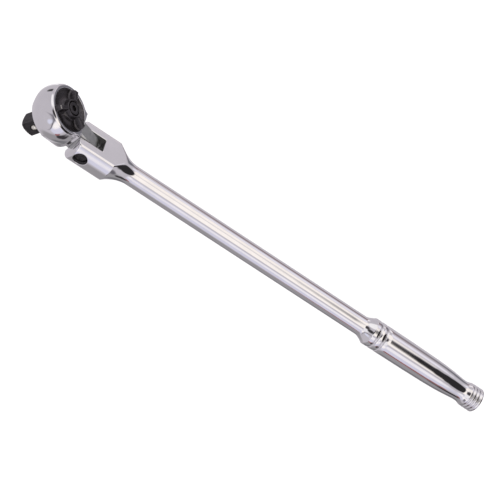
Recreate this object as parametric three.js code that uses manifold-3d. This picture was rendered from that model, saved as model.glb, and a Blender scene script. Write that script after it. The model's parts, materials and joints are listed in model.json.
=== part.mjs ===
// Long flex-head ratchet wrench, half-inch square drive. Millimetres, +Z up.
//
// The handle lies along +X with its grip at the far end. The head is hinged on a cross pin in the
// handle's fork, and at rest it is tipped up by HEAD_TILT. The reversing dial faces up and the
// square drive faces down. The finished group stands on the middle of its own box's underside.

import * as THREE from 'three';
import { mergeVertices } from 'three/addons/utils/BufferGeometryUtils.js';
import Module from 'manifold-3d';

const wasm = await Module();
wasm.setup();

const radians = THREE.MathUtils.degToRad;

// ---- driving dimensions (millimetres, and degrees for angles) ---------------------------------

const GAP = 0.3; // clearance between neighbouring pieces
const REACH = 60; // longer than anything a cutter has to pass through
const OVERLAP = 1; // how far joined or cut shapes run past a shared face

// Handle, measured along X from the flex pin
const FORK_RADIUS = 16.5;
const FORK_FLAT = 10.9; // height of the fork's flat top and bottom from the pin
const FORK_FRONT = -9.7;
const FORK_FRONT_ROUND = 3.6;
const FORK_BACK = 24.2;
const NECK_BACK = 45;
const SLOT_HALF_WIDTH = 6.1;
const SLOT_BACK = 11.5;
const SHAFT_RADIUS = 8.4;
const SHAFT_BACK = 274.4;
const GRIP_FRONT = 283.2;
const GRIP_RADIUS = 11.9;
const GRIP_SHOULDER = 347;
const GRIP_SHOULDER_RADIUS = 11.4;
const WAIST = 381.2;
const WAIST_RADIUS = 9.05;
const KNOB_FRONT = 386.5;
const KNOB_RADIUS = 10.6;
const HANDLE_END = 398.2;
const END_ROUND = 1.5;
const GROOVE_DEPTH = 0.5;
const GROOVE_HALF_WIDTH = 0.7;
const GRIP_GROOVES = [288.5, 294.5];
const KNOB_GROOVES = [388, 391.3, 394.6];

// Flex pin and the spring-loaded plunger that makes the head stay where it is put
const PIN_RADIUS = 5.5;
const PIN_HALF_LENGTH = 12.7;
const PIN_DOME = 0.5;
const PIN_CROWN_RADIUS = 2.75;
const PLUNGER_RADIUS = 3;
const PLUNGER_LENGTH = 6;
const PLUNGER_BORE_END = 24;
const FRICTION_WIRE_RADIUS = 0.5;

// Head, measured from the flex pin along the head's own axes
const HEAD_TILT = 19.5;
const HEAD_OFFSET = 35; // flex pin to drive axis
const FACE_HEIGHT = 12; // flex pin to the face that the dial sits in
const HEAD_RADIUS = 23.1;
const FACE_RADIUS = 19.6;
const RIM_DEPTH = 1.3;
const RIM_RADIUS = 20.9;
const WIDEST_DEPTH = 10.6;
const BASE_DEPTH = 23;
const BASE_RADIUS = 17.4;
const SHOULDER = 17.1; // flex pin to the back of the head's neck
const SHOULDER_RADIUS = 17.4;
const NECK_ROOT_RADIUS = 21.1; // of the neck's cone, at the drive axis
const TANG_HALF_WIDTH = 5.8;
const TANG_RADIUS = 9.6;
const TANG_ROOT_HEIGHT = 10.4;

// Ratchet inside the head: depths are measured down from the face
const DIAL_RADIUS = 17.1;
const DIAL_DISC = 2;
const POCKET_DEPTH = 3;
const TEETH = 36;
const TOOTH_ROOT_RADIUS = 16.4;
const TOOTH_TIP_RADIUS = 15.2;
const TOOTH_ROOT_LAND = 0.08; // half widths of the tooth gap, as shares of the pitch
const TOOTH_TIP_LAND = 0.42;
const GEAR_FLOOR = 14.9;
const DRUM_RADIUS = 14.9;
const DRUM_TOP = 4.2;
const DRUM_FLOOR = 13.4;
const PAWL_POCKET_RADIUS = 9;
const PAWL_POCKET_SPREAD = 68; // to each side of the pocket's middle line
const PAWL_TOP = 4.6;
const PAWL_FLOOR = 12.6;
const PAWL_PIVOT_RADIUS = 11.9;
const PAWL_PIVOT_ANGLE = 52;
const PAWL_PIN_RADIUS = 1.2;
const PAWL_BOSS_RADIUS = 2.4;
const PAWL_THROW = 15;
const PAWL_OUTER_RADIUS = 14.8;
const PAWL_TEETH_ANGLES = [25, 15];
const PAWL_TOOTH_HEIGHT = 1.2;
const PAWL_TOOTH_ROOT = 3.1; // half widths of a pawl tooth, in degrees
const PAWL_TOOTH_CREST = 0.5;
// the pawl's outline in [radius, angle from the pocket's middle], before and after its teeth
const PAWL_HEEL = [[PAWL_OUTER_RADIUS, 38], [PAWL_OUTER_RADIUS, 31]];
const PAWL_TOE = [[14.4, 10.5], [11.4, 12], [11.3, 24], [10.8, 38], [PAWL_PIVOT_RADIUS, 45]];
const PAWL_SPRING_ANGLE = 20;
const PAWL_SPRING_FOOT = 6.3;
const PAWL_SPRING_FREE_LENGTH = 4.6;
const PAWL_SPRING_HELD_LENGTH = 2.9;
const PAWL_SPRING_RADIUS = 1.3;
const PAWL_SPRING_DEPTH = 8.6;
const PAWL_SPRING_TURNS = 3;
const PAWL_WIRE_RADIUS = 0.3;
const PEG_RADIUS = 0.9;
const PEG_ORBIT = 13;
const PEG_ANGLE = 18;
const PEG_TOP = 2.7;
const CAM_RADIUS = 14.9;
const CAM_WAIST = 11.55; // peg orbit at the middle of the cam slot
const CAM_TOP = 2.3;
const CAM_BOTTOM = 3.9;
const CAM_SLOT_FROM = 114;
const CAM_SLOT_TO = 206;
const CAM_SLOT_INNER = 9.8;
const CAM_DWELL = 1.21; // above 1, the slot's wall reaches its full radius before each end
const WASHER_RADIUS = 14.5;
const SEAL_GAP = 0.25;
const STEM_RADIUS = 5;
const STEM_BOTTOM = 9;
const JOURNAL_RADIUS = 8.6;
const BUSH_INNER_RADIUS = 8.9;
const BUSH_OUTER_RADIUS = 10.1;
const BUSH_BOTTOM = 21.4;
const RING_POCKET_DEPTH = 21.7;
const RING_POCKET_RADIUS = 11.6;
const RING_RADIUS = 11.2;
const RING_TOP = 22;
const RING_BOTTOM = 22.7;
const RING_INNER_RADIUS = 7.9;
const RING_OPENING = 3;
const RING_GROOVE_RADIUS = 7.6;
const RING_GROOVE_PLAY = 0.2;
const COLLAR_BOTTOM = 24;

// Square drive
const SQUARE = 12.7;
const SQUARE_CORNER_RADIUS = 8.8;
const DRIVE_DEPTH = 42;
const DRIVE_CHAMFER = 1.4;
const BALL_RADIUS = 2.8;
const BALL_DEPTH = 33.4;
const BALL_PROUD = 1.1;
const BALL_BORE_END = 3.2;
const BALL_BORE_RADIUS = 2.9;
const BALL_WIRE_RADIUS = 0.35;

// Reversing dial
const DIAL_HEIGHT = 4.4;
const HUB_RADIUS = 7.9;
const HUB_FOOT_RADIUS = 9.4;
const LOBE_LENGTH = 15.2;
const LOBE_HALF_WIDTH = 2.9;
const LOBES = 3;
const DIAL_THROW = 40; // between its two positions
const DIAL_REST = -DIAL_THROW / 2; // from the middle position, where a lobe points back
const SCREW_HEAD_RADIUS = 5.2;
const SCREW_HEAD_BOTTOM = 1; // above the face
const SCREW_RADIUS = 2.4;
const SCREW_BOTTOM = 19;
const HEX_RADIUS = 2.6;
const HEX_DEPTH = 2;
const DIMPLE_ORBIT = 10;
const CLICK_BALL_RADIUS = 1.25;
const CLICK_BORE_DEPTH = 6;
const CLICK_SPRING_LENGTH = 3;
const CLICK_SPRING_LIFT = 0.2; // above the bore's floor
const CLICK_WIRE_RADIUS = 0.25;

const SPRING_TURNS = 4; // of every spring but the pawls'

const ROUND = 36; // sides of a large round piece
const FINE = 24; // sides of a small one

// ---- materials -------------------------------------------------------------------------------

function finish(color, roughness, metalness) {
  return new THREE.MeshStandardMaterial({ color, roughness, metalness });
}

const chrome = finish(0xd6d4d8, 0.08, 1);
const blackOxide = finish(0x2a292b, 0.38, 0.7);
const hardSteel = finish(0x8f8d8a, 0.3, 1);
const brightSteel = finish(0xc9c7c4, 0.15, 1);
const bronze = finish(0x9a7442, 0.35, 1);
const rubber = finish(0x1b1b1b, 0.8, 0);

// ---- solids ----------------------------------------------------------------------------------

function solidFrom(geometry) {
  const bare = geometry.clone();
  bare.deleteAttribute('normal');
  bare.deleteAttribute('uv');
  const merged = mergeVertices(bare);
  const corners = merged.index.array;
  const triangles = [];
  for (let i = 0; i < corners.length; i += 3) {
    const [a, b, c] = [corners[i], corners[i + 1], corners[i + 2]];
    if (a !== b && b !== c && c !== a) triangles.push(a, b, c);
  }
  return new wasm.Manifold(new wasm.Mesh({
    numProp: 3,
    vertProperties: merged.attributes.position.array,
    triVerts: new Uint32Array(triangles),
  }));
}

function geometryFrom(solid) {
  const mesh = solid.getMesh();
  const geometry = new THREE.BufferGeometry();
  geometry.setAttribute('position', new THREE.BufferAttribute(mesh.vertProperties, mesh.numProp));
  geometry.setIndex(new THREE.BufferAttribute(mesh.triVerts, 1));
  return geometry;
}

// Turned shapes: each profile point is [distance along the axis, radius], and the profile runs
// with the material on its axis side.
function turned(profile, sides = ROUND) {
  return new THREE.LatheGeometry(profile.map(([along, radius]) => new THREE.Vector2(radius, along)), sides);
}

const turnedAlongX = (profile, sides) => solidFrom(turned(profile, sides).rotateZ(-Math.PI / 2));
const turnedAlongY = (profile, sides) => solidFrom(turned(profile, sides));
const turnedAlongZ = (profile, sides) => solidFrom(turned(profile, sides).rotateX(Math.PI / 2));

const rodProfile = (from, to, radius) => [[from, 0], [from, radius], [to, radius], [to, 0]];

function rod(bottom, top, radius, sides = FINE) {
  return turnedAlongZ(rodProfile(bottom, top, radius), sides);
}

function ring(bottom, top, inner, outer) {
  return turnedAlongZ([[bottom, inner], [bottom, outer], [top, outer], [top, inner], [bottom, inner]], ROUND);
}

function block(low, high) {
  const [lowX, lowY, lowZ] = low;
  const [highX, highY, highZ] = high;
  const box = new THREE.BoxGeometry(highX - lowX, highY - lowY, highZ - lowZ);
  return solidFrom(box.translate((lowX + highX) / 2, (lowY + highY) / 2, (lowZ + highZ) / 2));
}

function plate(points, bottom, top) {
  const outline = new THREE.Shape(points.map(([x, y]) => new THREE.Vector2(x, y)));
  const slab = new THREE.ExtrudeGeometry(outline, { depth: top - bottom, bevelEnabled: false });
  return solidFrom(slab.translate(0, 0, bottom));
}

const ball = (radius) => new THREE.SphereGeometry(radius, FINE / 2, FINE / 3);
const polar = (radius, angle) => [radius * Math.cos(angle), radius * Math.sin(angle)];

function arcPoints(centre, radius, from, to, steps) {
  return Array.from({ length: steps + 1 }, (_, step) => {
    const [x, y] = polar(radius, from + ((to - from) * step) / steps);
    return [centre[0] + x, centre[1] + y];
  });
}

class Helix extends THREE.Curve {
  constructor(radius, length, turns) {
    super();
    Object.assign(this, { radius, length, turns });
  }

  getPoint(t) {
    const angle = 2 * Math.PI * this.turns * t;
    return new THREE.Vector3(this.radius * Math.cos(angle), this.radius * Math.sin(angle), this.length * t);
  }
}

// A coil spring standing on the origin along +Z
function coilSpring(outerRadius, length, wireRadius, turns) {
  const wireSides = 5;
  const stepsPerTurn = 8;
  const wire = new THREE.Shape(arcPoints([0, 0], wireRadius, 0, 2 * Math.PI, wireSides)
    .slice(0, wireSides).map(([x, y]) => new THREE.Vector2(x, y)));
  const extrudePath = new Helix(outerRadius - wireRadius, length - 2 * wireRadius, turns);
  const steps = turns * stepsPerTurn;
  const coil = new THREE.ExtrudeGeometry(wire, { extrudePath, steps, bevelEnabled: false });
  return coil.translate(0, 0, wireRadius);
}

function piece(name, shape, material) {
  const geometry = shape.isBufferGeometry ? shape : geometryFrom(shape);
  const mesh = new THREE.Mesh(geometry, material);
  mesh.name = name;
  return mesh;
}

// ---- handle ----------------------------------------------------------------------------------

// Profile points of the ring grooves in a surface of one radius
function grooves(centres, radius) {
  return centres.flatMap((x) => [
    [x - GROOVE_HALF_WIDTH, radius],
    [x, radius - GROOVE_DEPTH],
    [x + GROOVE_HALF_WIDTH, radius],
  ]);
}

function handleProfile() {
  const frontRound = arcPoints([FORK_FRONT + FORK_FRONT_ROUND, FORK_RADIUS - FORK_FRONT_ROUND],
    FORK_FRONT_ROUND, Math.PI, Math.PI / 2, 3);
  const neckSteps = 6;
  const neck = Array.from({ length: neckSteps + 1 }, (_, step) => {
    const s = step / neckSteps;
    const radius = SHAFT_RADIUS + (FORK_RADIUS - SHAFT_RADIUS) * (1 - s) ** 2;
    return [FORK_BACK + (NECK_BACK - FORK_BACK) * s, radius];
  });
  const flareSteps = 4;
  const flare = Array.from({ length: flareSteps + 1 }, (_, step) => {
    const s = step / flareSteps;
    const radius = SHAFT_RADIUS + (GRIP_RADIUS - SHAFT_RADIUS) * s ** 1.5;
    return [SHAFT_BACK + (GRIP_FRONT - SHAFT_BACK) * s, radius];
  });
  const taperSteps = 5;
  const taper = Array.from({ length: taperSteps + 1 }, (_, step) => {
    const s = step / taperSteps;
    const radius = THREE.MathUtils.lerp(GRIP_SHOULDER_RADIUS, WAIST_RADIUS, (1 - Math.cos(Math.PI * s)) / 2);
    return [THREE.MathUtils.lerp(GRIP_SHOULDER, WAIST, s), radius];
  });
  const endRound = arcPoints([HANDLE_END - END_ROUND, KNOB_RADIUS - END_ROUND],
    END_ROUND, Math.PI / 2, 0, 3);
  return [
    [FORK_FRONT, 0],
    ...frontRound,
    ...neck,
    ...flare,
    ...grooves(GRIP_GROOVES, GRIP_RADIUS),
    ...taper,
    [KNOB_FRONT, KNOB_RADIUS],
    ...grooves(KNOB_GROOVES, KNOB_RADIUS),
    ...endRound,
    [HANDLE_END, 0],
  ];
}

function handleSolid() {
  const bar = turnedAlongX(handleProfile(), ROUND);
  const above = block([-REACH, -REACH, FORK_FLAT], [NECK_BACK, REACH, REACH]);
  const below = block([-REACH, -REACH, -REACH], [NECK_BACK, REACH, -FORK_FLAT]);
  const slot = block([-REACH, -SLOT_HALF_WIDTH, -REACH], [SLOT_BACK, SLOT_HALF_WIDTH, REACH]);
  const pinHole = turnedAlongY(rodProfile(-REACH, REACH, PIN_RADIUS + GAP), ROUND);
  const plungerBore = turnedAlongX(
    rodProfile(SLOT_BACK - OVERLAP, PLUNGER_BORE_END, PLUNGER_RADIUS + GAP), FINE);
  return bar.subtract(above).subtract(below).subtract(slot).subtract(pinHole).subtract(plungerBore);
}

function pivotPinSolid() {
  const shoulder = PIN_HALF_LENGTH - PIN_DOME;
  return turnedAlongY([
    [-PIN_HALF_LENGTH, 0],
    [-PIN_HALF_LENGTH, PIN_CROWN_RADIUS],
    [-shoulder, PIN_RADIUS],
    [shoulder, PIN_RADIUS],
    [PIN_HALF_LENGTH, PIN_CROWN_RADIUS],
    [PIN_HALF_LENGTH, 0],
  ], ROUND);
}

function buildHandle() {
  const group = new THREE.Group();
  const plungerFront = TANG_RADIUS + GAP;
  const plungerBack = plungerFront + PLUNGER_LENGTH;
  const springLength = PLUNGER_BORE_END - plungerBack - 2 * GAP;
  group.add(piece('handle', handleSolid(), chrome));
  group.add(piece('pivot_pin', pivotPinSolid(), blackOxide));
  group.add(piece('friction_plunger',
    turnedAlongX(rodProfile(plungerFront, plungerBack, PLUNGER_RADIUS), FINE), hardSteel));
  const spring = coilSpring(PLUNGER_RADIUS, springLength, FRICTION_WIRE_RADIUS, SPRING_TURNS);
  spring.rotateY(Math.PI / 2).translate(plungerBack + GAP, 0, 0);
  group.add(piece('friction_spring', spring, brightSteel));
  return group;
}

// ---- head housing ----------------------------------------------------------------------------

// A star-shaped cutter whose points are the gaps between the ratchet teeth
function toothCutter(bottom, top) {
  const pitch = (2 * Math.PI) / TEETH;
  const points = [];
  for (let tooth = 0; tooth < TEETH; tooth += 1) {
    const middle = tooth * pitch + pitch / 2;
    points.push(polar(TOOTH_TIP_RADIUS, middle - pitch * TOOTH_TIP_LAND));
    points.push(polar(TOOTH_ROOT_RADIUS, middle - pitch * TOOTH_ROOT_LAND));
    points.push(polar(TOOTH_ROOT_RADIUS, middle + pitch * TOOTH_ROOT_LAND));
    points.push(polar(TOOTH_TIP_RADIUS, middle + pitch * TOOTH_TIP_LAND));
  }
  return plate(points, bottom, top);
}

function headShellSolid() {
  const crown = [[-BASE_DEPTH, 0], [-BASE_DEPTH, BASE_RADIUS]];
  const sideSteps = 8;
  const bulge = (s, edge) => edge + (HEAD_RADIUS - edge) * Math.sin((Math.PI / 2) * s);
  for (let step = 1; step <= sideSteps; step += 1) {
    const s = step / sideSteps;
    crown.push([-BASE_DEPTH + (BASE_DEPTH - WIDEST_DEPTH) * s, bulge(s, BASE_RADIUS)]);
  }
  for (let step = 1; step <= sideSteps; step += 1) {
    const s = step / sideSteps;
    crown.push([-WIDEST_DEPTH + (WIDEST_DEPTH - RIM_DEPTH) * s, bulge(1 - s, RIM_RADIUS)]);
  }
  crown.push([0, FACE_RADIUS], [0, 0]);
  return turnedAlongZ(crown, ROUND);
}

function neckSolid() {
  // turned about the head's own long axis, from inside the housing back to the shoulder
  const neck = turnedAlongX([
    [0, 0],
    [0, NECK_ROOT_RADIUS],
    [HEAD_OFFSET - SHOULDER, SHOULDER_RADIUS],
    [HEAD_OFFSET - SHOULDER, 0],
  ], ROUND).translate([0, 0, -FACE_HEIGHT]);
  const above = block([-REACH, -REACH, 0], [REACH, REACH, REACH]);
  const below = block([-REACH, -REACH, -REACH], [REACH, REACH, -BASE_DEPTH]);
  return neck.subtract(above).subtract(below);
}

function tangSolid() {
  // outline in the plane of the tang: x back along the head, y up
  const root = [-SHOULDER - GAP, TANG_ROOT_HEIGHT];
  const spread = Math.atan2(root[1], -root[0]) + Math.acos(TANG_RADIUS / Math.hypot(...root));
  const endSteps = 16;
  const end = arcPoints([0, 0], TANG_RADIUS, -(Math.PI - spread), Math.PI - spread, endSteps);
  const outline = [[root[0], -root[1]], ...end, root];
  const slab = plate(outline, -TANG_HALF_WIDTH, TANG_HALF_WIDTH).rotate([90, 0, 0]);
  const hole = turnedAlongY(rodProfile(-REACH, REACH, PIN_RADIUS + GAP), ROUND);
  return slab.subtract(hole).translate([HEAD_OFFSET, 0, -FACE_HEIGHT]);
}

function housingSolid() {
  const dialPocket = rod(-POCKET_DEPTH, OVERLAP, DIAL_RADIUS + GAP, ROUND);
  const gearBore = toothCutter(-GEAR_FLOOR, -POCKET_DEPTH + OVERLAP);
  const journalBore = rod(-REACH, -GEAR_FLOOR + OVERLAP, BUSH_OUTER_RADIUS + GAP, ROUND);
  const ringPocket = rod(-REACH, -RING_POCKET_DEPTH, RING_POCKET_RADIUS, ROUND);
  const behind = block([HEAD_OFFSET - SHOULDER, -REACH, -REACH], [REACH, REACH, REACH]);
  return headShellSolid().add(neckSolid()).subtract(behind).subtract(dialPocket).subtract(gearBore)
    .subtract(journalBore).subtract(ringPocket).add(tangSolid());
}

// ---- drive -----------------------------------------------------------------------------------

// The pawl pocket opens towards -X. Inside it, angles are measured from its middle line,
// positive towards +Y, so one pawl is the mirror image of the other.
function pocketPolar(radius, angle, side) {
  const [along, across] = polar(radius, radians(angle));
  return [-along, side * across];
}

function pocketCutter() {
  const steps = 10;
  const pitch = (2 * PAWL_POCKET_SPREAD) / steps;
  const outer = [];
  const inner = [];
  for (let step = 0; step <= steps; step += 1) {
    const angle = -PAWL_POCKET_SPREAD + pitch * step;
    outer.push(pocketPolar(DRUM_RADIUS + OVERLAP, angle, 1));
    inner.push(pocketPolar(PAWL_POCKET_RADIUS, angle, 1));
  }
  return plate([...inner, ...outer.reverse()], -PAWL_FLOOR - GAP, 0);
}

function squareSolid() {
  const half = SQUARE / 2;
  const root = -COLLAR_BOTTOM + OVERLAP;
  const prism = block([-half, -half, -DRIVE_DEPTH], [half, half, root]);
  const round = turnedAlongZ([
    [-DRIVE_DEPTH, 0],
    [-DRIVE_DEPTH, SQUARE_CORNER_RADIUS - 2 * DRIVE_CHAMFER],
    [-DRIVE_DEPTH + DRIVE_CHAMFER, SQUARE_CORNER_RADIUS],
    [root, SQUARE_CORNER_RADIUS],
    [root, 0],
  ], ROUND);
  return prism.intersect(round);
}

function anvilSolid() {
  const body = turnedAlongZ([
    [-COLLAR_BOTTOM, 0],
    [-COLLAR_BOTTOM, JOURNAL_RADIUS],
    [-RING_BOTTOM - RING_GROOVE_PLAY, JOURNAL_RADIUS],
    [-RING_BOTTOM - RING_GROOVE_PLAY, RING_GROOVE_RADIUS],
    [-RING_TOP + RING_GROOVE_PLAY, RING_GROOVE_RADIUS],
    [-RING_TOP + RING_GROOVE_PLAY, JOURNAL_RADIUS],
    [-DRUM_FLOOR, JOURNAL_RADIUS],
    [-DRUM_FLOOR, DRUM_RADIUS],
    [-DRUM_TOP, DRUM_RADIUS],
    [-DRUM_TOP, 0],
  ], ROUND);
  const stemBore = rod(-STEM_BOTTOM - GAP, 0, STEM_RADIUS + GAP, ROUND);
  const screwBore = rod(-SCREW_BOTTOM - GAP, 0, SCREW_RADIUS + GAP);
  const ballBore = turnedAlongY(rodProfile(-REACH, BALL_BORE_END, BALL_BORE_RADIUS), FINE)
    .translate([0, 0, -BALL_DEPTH]);
  const clickBore = rod(-DRUM_TOP - CLICK_BORE_DEPTH, 0, CLICK_BALL_RADIUS + GAP)
    .translate([DIMPLE_ORBIT, 0, 0]);
  let solid = body.add(squareSolid()).subtract(pocketCutter()).subtract(stemBore)
    .subtract(screwBore).subtract(ballBore).subtract(clickBore);
  for (const side of [1, -1]) {
    const [x, y] = pocketPolar(PAWL_PIVOT_RADIUS, PAWL_PIVOT_ANGLE, side);
    const pinHole = rod(-DRUM_FLOOR - OVERLAP, 0, PAWL_PIN_RADIUS + GAP).translate([x, y, 0]);
    solid = solid.subtract(pinHole).subtract(springSeat(side));
  }
  return solid;
}

// Radial pocket in the drum's core that holds a pawl spring
function springSeat(side) {
  const seat = rodProfile(PAWL_SPRING_FOOT - GAP, DRUM_RADIUS, PAWL_SPRING_RADIUS + GAP);
  return turnedAlongX(seat, FINE).rotate([0, 0, 180 - side * PAWL_SPRING_ANGLE])
    .translate([0, 0, -PAWL_SPRING_DEPTH]);
}

function pawlSpring(side, length) {
  const spring = coilSpring(PAWL_SPRING_RADIUS, length, PAWL_WIRE_RADIUS, PAWL_SPRING_TURNS);
  spring.rotateY(Math.PI / 2).translate(PAWL_SPRING_FOOT, 0, 0);
  return spring.rotateZ(radians(180 - side * PAWL_SPRING_ANGLE)).translate(0, 0, -PAWL_SPRING_DEPTH);
}

function pawlSolid(side) {
  const teeth = PAWL_TEETH_ANGLES.flatMap((angle) => [
    [PAWL_OUTER_RADIUS, angle + PAWL_TOOTH_ROOT],
    [PAWL_OUTER_RADIUS + PAWL_TOOTH_HEIGHT, angle + PAWL_TOOTH_CREST],
    [PAWL_OUTER_RADIUS + PAWL_TOOTH_HEIGHT, angle - PAWL_TOOTH_CREST],
    [PAWL_OUTER_RADIUS, angle - PAWL_TOOTH_ROOT],
  ]);
  const outline = [...PAWL_HEEL, ...teeth, ...PAWL_TOE];
  const points = outline.map(([radius, angle]) => pocketPolar(radius, angle, side));
  if (side > 0) points.reverse();
  const [x, y] = pocketPolar(PAWL_PIVOT_RADIUS, PAWL_PIVOT_ANGLE, side);
  const [pegX, pegY] = pocketPolar(PEG_ORBIT, PEG_ANGLE, side);
  const boss = rod(-PAWL_FLOOR, -PAWL_TOP, PAWL_BOSS_RADIUS).translate([x, y, 0]);
  const peg = rod(-PAWL_TOP - OVERLAP, -PEG_TOP, PEG_RADIUS, FINE / 2).translate([pegX, pegY, 0]);
  const pinHole = rod(-REACH, REACH, PAWL_PIN_RADIUS + GAP).translate([x, y, 0]);
  return plate(points, -PAWL_FLOOR, -PAWL_TOP).add(boss).add(peg).subtract(pinHole);
}

// The released pawl hangs swung inwards about its pin
function releasedPawl(side) {
  const [x, y] = pocketPolar(PAWL_PIVOT_RADIUS, PAWL_PIVOT_ANGLE, side);
  return pawlSolid(side).translate([-x, -y, 0]).rotate([0, 0, PAWL_THROW * side]).translate([x, y, 0]);
}

function pawlPin(side) {
  const [x, y] = pocketPolar(PAWL_PIVOT_RADIUS, PAWL_PIVOT_ANGLE, side);
  return rod(-DRUM_FLOOR, -PAWL_TOP, PAWL_PIN_RADIUS, FINE / 2).translate([x, y, 0]);
}

function retainingRing() {
  const hoop = ring(-RING_BOTTOM, -RING_TOP, RING_INNER_RADIUS, RING_RADIUS);
  return hoop.subtract(block([0, -RING_OPENING / 2, -REACH], [REACH, RING_OPENING / 2, 0]));
}

function dialScrew() {
  const key = new THREE.CylinderGeometry(HEX_RADIUS, HEX_RADIUS, 2 * HEX_DEPTH, 6);
  return turnedAlongZ([
    [-SCREW_BOTTOM, 0],
    [-SCREW_BOTTOM, SCREW_RADIUS],
    [SCREW_HEAD_BOTTOM, SCREW_RADIUS],
    [SCREW_HEAD_BOTTOM, SCREW_HEAD_RADIUS],
    [DIAL_HEIGHT, SCREW_HEAD_RADIUS],
    [DIAL_HEIGHT, 0],
  ], ROUND).subtract(solidFrom(key.rotateX(Math.PI / 2)).translate([0, 0, DIAL_HEIGHT]));
}

// ---- reversing dial --------------------------------------------------------------------------

function dialSolid() {
  let solid = turnedAlongZ([
    [-STEM_BOTTOM, 0],
    [-STEM_BOTTOM, STEM_RADIUS],
    [-DIAL_DISC, STEM_RADIUS],
    [-DIAL_DISC, DIAL_RADIUS],
    [0, DIAL_RADIUS],
    [0, HUB_FOOT_RADIUS],
    [DIAL_HEIGHT, HUB_RADIUS],
    [DIAL_HEIGHT, 0],
  ], ROUND);
  for (let lobe = 0; lobe < LOBES; lobe += 1) {
    const arm = block([0, -LOBE_HALF_WIDTH, -DIAL_DISC / 2],
      [LOBE_LENGTH, LOBE_HALF_WIDTH, DIAL_HEIGHT]);
    solid = solid.add(arm.rotate([0, 0, DIAL_REST + (360 / LOBES) * lobe]));
  }
  const headRecess = rod(SCREW_HEAD_BOTTOM - GAP, REACH, SCREW_HEAD_RADIUS + GAP, ROUND);
  const screwHole = rod(-REACH, REACH, SCREW_RADIUS + GAP);
  return solid.subtract(headRecess).subtract(screwHole);
}

// The cam plate turns with the dial. Its slot holds the two pawl pegs: the wall is far out at
// both ends, where it lets a pawl spring into the teeth, and closer in at the middle.
function camPlate() {
  const clearance = PEG_RADIUS + GAP;
  const ends = PEG_ORBIT + clearance;
  const middle = CAM_WAIST + clearance;
  const steps = 16;
  const outer = [];
  const inner = [];
  for (let step = 0; step <= steps; step += 1) {
    const s = step / steps;
    const angle = radians(THREE.MathUtils.lerp(CAM_SLOT_FROM, CAM_SLOT_TO, s));
    const reach = THREE.MathUtils.lerp(middle, ends, Math.abs(2 * s - 1) * CAM_DWELL);
    outer.push(polar(Math.min(reach, ends), angle));
    inner.push(polar(CAM_SLOT_INNER, angle));
  }
  const slot = plate([...outer, ...inner.reverse()], -CAM_BOTTOM - OVERLAP, -CAM_TOP + OVERLAP);
  return ring(-CAM_BOTTOM, -CAM_TOP, STEM_RADIUS + GAP, CAM_RADIUS).subtract(slot);
}

// ---- assembly --------------------------------------------------------------------------------

function buildHead() {
  const flex = new THREE.Group();
  flex.rotation.y = radians(HEAD_TILT);
  const head = new THREE.Group();
  head.position.set(-HEAD_OFFSET, 0, FACE_HEIGHT);
  flex.add(head);

  head.add(piece('head_housing', housingSolid(), chrome));
  head.add(piece('journal_bush',
    ring(-BUSH_BOTTOM, -GEAR_FLOOR - GAP, BUSH_INNER_RADIUS, BUSH_OUTER_RADIUS), bronze));
  head.add(piece('thrust_washer',
    ring(-GEAR_FLOOR + GAP, -DRUM_FLOOR - GAP, JOURNAL_RADIUS + GAP, WASHER_RADIUS), bronze));

  head.add(piece('drive_anvil', anvilSolid(), blackOxide));
  head.add(piece('retaining_ring', retainingRing(), hardSteel));
  head.add(piece('pawl_pin_left', pawlPin(-1), hardSteel));
  head.add(piece('pawl_pin_right', pawlPin(1), hardSteel));
  head.add(piece('pawl_left', pawlSolid(-1), hardSteel));
  head.add(piece('pawl_right', releasedPawl(1), hardSteel));
  head.add(piece('pawl_spring_left', pawlSpring(-1, PAWL_SPRING_FREE_LENGTH), brightSteel));
  head.add(piece('pawl_spring_right', pawlSpring(1, PAWL_SPRING_HELD_LENGTH), brightSteel));

  const ballMiddle = -SQUARE / 2 + BALL_RADIUS - BALL_PROUD;
  const ballBack = ballMiddle + BALL_RADIUS;
  head.add(piece('drive_ball', ball(BALL_RADIUS).translate(0, ballMiddle, -BALL_DEPTH), brightSteel));
  const ballSpringLength = BALL_BORE_END - ballBack - 2 * GAP;
  const ballSpring = coilSpring(BALL_RADIUS - GAP, ballSpringLength, BALL_WIRE_RADIUS, SPRING_TURNS);
  ballSpring.rotateX(-Math.PI / 2).translate(0, ballBack + GAP, -BALL_DEPTH);
  head.add(piece('drive_ball_spring', ballSpring, brightSteel));

  head.add(piece('reversing_dial', dialSolid(), blackOxide));
  head.add(piece('cam_plate', camPlate(), hardSteel));
  const sealFloor = -POCKET_DEPTH + SEAL_GAP;
  const sealTop = -DIAL_DISC - SEAL_GAP;
  head.add(piece('dial_seal', ring(sealFloor, sealTop, CAM_RADIUS + 2 * GAP, DIAL_RADIUS), rubber));
  head.add(piece('dial_screw', dialScrew(), blackOxide));
  const clickMiddle = -DRUM_TOP - CLICK_BALL_RADIUS;
  const clickBall = ball(CLICK_BALL_RADIUS).translate(DIMPLE_ORBIT, 0, clickMiddle);
  head.add(piece('click_ball', clickBall, brightSteel));
  const clickFoot = -DRUM_TOP - CLICK_BORE_DEPTH + CLICK_SPRING_LIFT;
  const clickSpring = coilSpring(CLICK_BALL_RADIUS, CLICK_SPRING_LENGTH, CLICK_WIRE_RADIUS, SPRING_TURNS);
  clickSpring.translate(DIMPLE_ORBIT, 0, clickFoot);
  head.add(piece('click_spring', clickSpring, brightSteel));
  return flex;
}

function standOnUnderside(model) {
  const bounds = new THREE.Box3().setFromObject(model, true);
  const middle = bounds.getCenter(new THREE.Vector3());
  model.position.set(-middle.x, -middle.y, -bounds.min.z);
  const stand = new THREE.Group();
  stand.add(model);
  return stand;
}

const wrench = new THREE.Group();
wrench.add(buildHandle());
wrench.add(buildHead());
const group = standOnUnderside(wrench);

export default group;
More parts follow.
